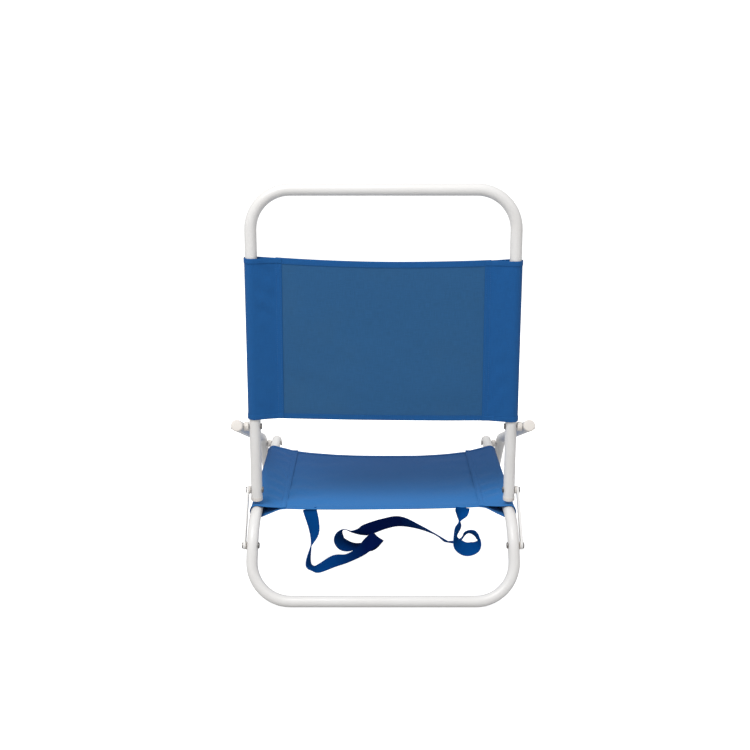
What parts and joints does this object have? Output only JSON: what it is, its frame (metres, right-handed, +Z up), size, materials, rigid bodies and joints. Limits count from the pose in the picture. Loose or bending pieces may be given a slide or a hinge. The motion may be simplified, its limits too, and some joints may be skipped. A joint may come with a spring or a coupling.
{
  "type": "folding camp chair",
  "caption": "Low folding chair of bent tube with a fabric back and seat, a link at each side and a webbing carry strap.",
  "frame": {"origin": "on the floor, under the middle of the chair's footprint", "axes": "+Z up; -Y is the way the sitter faces; +X is the sitter's left"},
  "size_m": [0.5304, 0.6636, 0.7198],
  "materials": {
    "tube_paint": "white powder coat, satin",
    "link_paint": "white powder coat, satin",
    "white_plastic": "moulded white plastic",
    "rivet_steel": "dark plated steel",
    "panel_fabric": "thin woven polyester, greyed blue",
    "sleeve_fabric": "woven polyester, bright blue",
    "seat_fabric": "woven polyester, bright blue",
    "webbing": "flat woven webbing, dark blue"
  },
  "bodies": {
    "seat_base": {"seat_leg_frame": "tube_paint", "seat_rail_cap_left": "white_plastic", "seat_rail_cap_right": "white_plastic", "seat_panel": "seat_fabric", "seat_sleeve_left": "seat_fabric", "seat_sleeve_right": "seat_fabric", "carry_strap": "webbing"},
    "links": {"link_left": "link_paint", "link_right": "link_paint", "link_upper_washer_left": "white_plastic", "link_upper_washer_right": "white_plastic", "link_lower_washer_left": "white_plastic", "link_lower_washer_right": "white_plastic", "link_upper_rivet_left": "rivet_steel", "link_upper_rivet_right": "rivet_steel", "link_lower_rivet_left": "rivet_steel", "link_lower_rivet_right": "rivet_steel"},
    "back": {"back_frame": "tube_paint", "back_foot_cap_left": "white_plastic", "back_foot_cap_right": "white_plastic", "arm_rivet_inner_left": "rivet_steel", "arm_rivet_inner_right": "rivet_steel", "back_panel": "panel_fabric", "back_sleeve_left": "sleeve_fabric", "back_sleeve_right": "sleeve_fabric"},
    "front_frame": {"front_leg_arm_frame": "tube_paint", "arm_cap_left": "white_plastic", "arm_cap_right": "white_plastic", "arm_spacer_left": "white_plastic", "arm_spacer_right": "white_plastic", "seat_spacer_left": "white_plastic", "seat_spacer_right": "white_plastic", "arm_rivet_left": "rivet_steel", "arm_rivet_right": "rivet_steel", "seat_rivet_left": "rivet_steel", "seat_rivet_right": "rivet_steel"}
  },
  "joints": [
    {"name": "link_fold", "type": "hinge", "parent": "seat_base", "child": "links", "pos_m": [0, 0.30093, 0.10338], "axis": [-1, 0, 0], "range_deg": [0, 96.43]},
    {"name": "back_fold", "type": "hinge", "parent": "links", "child": "back", "pos_m": [0, 0.23531, 0.18483], "axis": [1, 0, 0], "range_deg": [0, 188.7]},
    {"name": "arm_fold", "type": "hinge", "parent": "seat_base", "child": "front_frame", "pos_m": [0, -0.134, 0.1863], "axis": [-1, 0, 0], "range_deg": [0, 19]}
  ],
  "couplings": [
    {"joint": "back_fold", "follows": "link_fold", "ratio": 1.9561},
    {"joint": "arm_fold", "follows": "link_fold", "ratio": 0.19638}
  ]
}
